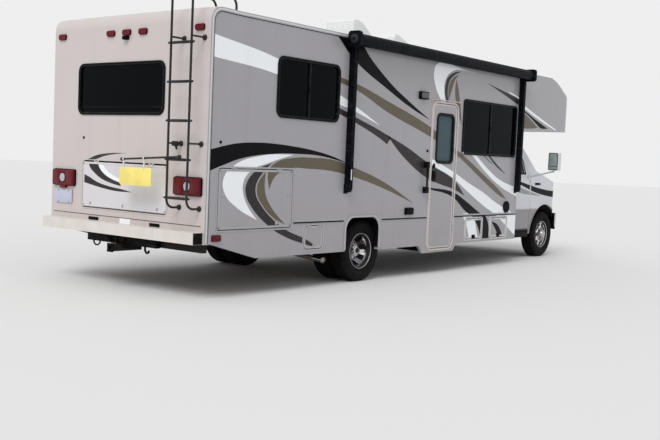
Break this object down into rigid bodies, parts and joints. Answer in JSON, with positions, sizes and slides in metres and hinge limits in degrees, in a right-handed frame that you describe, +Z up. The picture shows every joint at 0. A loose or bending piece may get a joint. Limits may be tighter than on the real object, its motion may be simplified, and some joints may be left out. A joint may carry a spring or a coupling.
{
  "type": "cab-over motorhome",
  "caption": "Cab-over motorhome with twin rear wheels, entry door, storage doors, roof air conditioner, roller awning and a rear ladder.",
  "frame": {"origin": "on the ground under the middle of the overall box", "axes": "+X towards the front of the vehicle, +Y to its left, +Z up"},
  "size_m": [8.9909, 2.97, 3.24],
  "materials": {
    "coach_skin": "champagne satin paint",
    "cap_skin": "light beige gloss",
    "roof_skin": "white satin",
    "cab_paint": "white gloss paint",
    "black_trim": "satin black",
    "coach_glass": "dark tint",
    "cab_glass": "green tint",
    "chassis_paint": "black",
    "engine_grey": "dull",
    "pipe_steel": "dull with a bright tip",
    "tank_plastic": "black",
    "tyre_rubber": "matt",
    "wheel_chrome": "polished wheel covers",
    "lamp_red": "clear red",
    "headlamp_clear": "clear lens",
    "floor_wood": "sealed boards",
    "seat_fabric": "woven grey",
    "mirror_white": "white housing",
    "awning_black": "black satin",
    "ladder_black": "black gloss",
    "roof_unit_white": "white",
    "board_yellow": "blank yellow board",
    "fitting_grey": "grey and black fittings"
  },
  "bodies": {
    "coach": {"chassis_frame": "chassis_paint", "body_bearers": "chassis_paint", "engine": "engine_grey", "exhaust": "pipe_steel", "under_tanks": "tank_plastic", "rear_axle": "chassis_paint", "front_axle": "chassis_paint", "house_floor": "floor_wood", "side_wall_right": "coach_skin", "side_wall_left": "coach_skin", "rear_cap": "cap_skin", "roof_panel": "roof_skin", "cabover_cap": "coach_skin", "window_frames": "black_trim", "coach_glass": "coach_glass", "step_and_lockers": "black_trim", "awning": "awning_black", "roof_units": "roof_unit_white", "wall_fittings": "fitting_grey", "rear_lamps": "lamp_red", "rear_bumper": "cap_skin", "hitch_receiver": "chassis_paint", "ladder": "ladder_black", "front_bumper": "cab_paint", "cab_seats": "seat_fabric", "dashboard": "black_trim", "grille": "black_trim", "headlamps": "headlamp_clear", "cab_shell": "cab_paint", "cab_floor": "black_trim"},
    "knuckle_right": {"knuckle_right": "chassis_paint"},
    "knuckle_left": {"knuckle_left": "chassis_paint"},
    "front_wheel_right": {"front_wheel_right": "wheel_chrome", "front_tyre_right": "tyre_rubber"},
    "front_wheel_left": {"front_wheel_left": "wheel_chrome", "front_tyre_left": "tyre_rubber"},
    "rear_wheels_right": {"rear_wheels_right": "wheel_chrome", "rear_tyres_right": "tyre_rubber"},
    "rear_wheels_left": {"rear_wheels_left": "wheel_chrome", "rear_tyres_left": "tyre_rubber"},
    "entry_door": {"entry_door": "coach_skin", "entry_door_glass": "coach_glass"},
    "cab_door_right": {"cab_door_right": "cab_paint", "cab_door_glass_right": "cab_glass", "mirror_right": "mirror_white"},
    "cab_door_left": {"cab_door_left": "cab_paint", "cab_door_glass_left": "cab_glass", "mirror_left": "mirror_white"},
    "hood": {"hood": "cab_paint"},
    "rear_cargo_door": {"rear_cargo_door": "cap_skin"},
    "hanging_board": {"hanging_board": "board_yellow"},
    "storage_door_right": {"storage_door_right": "coach_skin"},
    "storage_door_left": {"storage_door_left": "coach_skin"},
    "hatch_right_rear": {"hatch_right_rear": "coach_skin"},
    "hatch_right_mid": {"hatch_right_mid": "coach_skin"},
    "hatch_right_front": {"hatch_right_front": "coach_skin"},
    "hatch_left_mid": {"hatch_left_mid": "coach_skin"}
  },
  "joints": [
    {"name": "steer_right", "type": "hinge", "parent": "coach", "child": "knuckle_right", "pos_m": [3.7395, -0.7, 0.372], "axis": [0, 0, 1], "range_deg": [-35, 35]},
    {"name": "steer_left", "type": "hinge", "parent": "coach", "child": "knuckle_left", "pos_m": [3.7395, 0.7, 0.372], "axis": [0, 0, 1], "range_deg": [-35, 35]},
    {"name": "front_wheel_right_spin", "type": "hinge", "parent": "knuckle_right", "child": "front_wheel_right", "pos_m": [3.7395, -0.88, 0.372], "axis": [0, 1, 0], "continuous": true},
    {"name": "front_wheel_left_spin", "type": "hinge", "parent": "knuckle_left", "child": "front_wheel_left", "pos_m": [3.7395, 0.88, 0.372], "axis": [0, 1, 0], "continuous": true},
    {"name": "rear_wheels_right_spin", "type": "hinge", "parent": "coach", "child": "rear_wheels_right", "pos_m": [-1.5725, -0.939, 0.372], "axis": [0, 1, 0], "continuous": true},
    {"name": "rear_wheels_left_spin", "type": "hinge", "parent": "coach", "child": "rear_wheels_left", "pos_m": [-1.5725, 0.939, 0.372], "axis": [0, 1, 0], "continuous": true},
    {"name": "entry_door_hinge", "type": "hinge", "parent": "coach", "child": "entry_door", "pos_m": [0.3865, -1.2625, 1.3], "axis": [0, 0, 1], "range_deg": [0, 115]},
    {"name": "cab_door_right_hinge", "type": "hinge", "parent": "coach", "child": "cab_door_right", "pos_m": [3.1915, -1.012, 1.15], "axis": [0, 0.0995, 0.995], "range_deg": [0, 65]},
    {"name": "cab_door_left_hinge", "type": "hinge", "parent": "coach", "child": "cab_door_left", "pos_m": [3.1915, 1.012, 1.15], "axis": [0, 0.0995, -0.995], "range_deg": [0, 65]},
    {"name": "hood_hinge", "type": "hinge", "parent": "coach", "child": "hood", "pos_m": [3.4475, 0, 1.422], "axis": [0, -1, 0], "range_deg": [0, 45]},
    {"name": "rear_cargo_door_hinge", "type": "hinge", "parent": "coach", "child": "rear_cargo_door", "pos_m": [-4.2895, 0, 1.331], "axis": [0, 1, 0], "range_deg": [0, 90]},
    {"name": "storage_door_right_hinge", "type": "hinge", "parent": "coach", "child": "storage_door_right", "pos_m": [-3.5525, -1.2625, 1.331], "axis": [-1, 0, 0], "range_deg": [0, 90]},
    {"name": "storage_door_left_hinge", "type": "hinge", "parent": "coach", "child": "storage_door_left", "pos_m": [-3.5525, 1.2625, 1.331], "axis": [1, 0, 0], "range_deg": [0, 90]},
    {"name": "hatch_right_rear_hinge", "type": "hinge", "parent": "coach", "child": "hatch_right_rear", "pos_m": [-2.5945, -1.2625, 0.716], "axis": [-1, 0, 0], "range_deg": [0, 90]},
    {"name": "hatch_right_mid_hinge", "type": "hinge", "parent": "coach", "child": "hatch_right_mid", "pos_m": [0.9805, -1.2625, 0.716], "axis": [-1, 0, 0], "range_deg": [0, 90]},
    {"name": "hatch_right_front_hinge", "type": "hinge", "parent": "coach", "child": "hatch_right_front", "pos_m": [1.7005, -1.2625, 0.716], "axis": [-1, 0, 0], "range_deg": [0, 90]},
    {"name": "hatch_left_mid_hinge", "type": "hinge", "parent": "coach", "child": "hatch_left_mid", "pos_m": [-0.4595, 1.2625, 0.716], "axis": [1, 0, 0], "range_deg": [0, 90]},
    {"name": "hanging_board_swing", "type": "hinge", "parent": "coach", "child": "hanging_board", "pos_m": [-4.4775, -0.397, 1.38867], "axis": [0, 0.9983, -0.0579], "range_deg": [0, 90]}
  ],
  "couplings": [
    {"joint": "steer_left", "follows": "steer_right", "ratio": 1},
    {"joint": "hanging_board_swing", "follows": "rear_cargo_door_hinge", "ratio": 1}
  ]
}
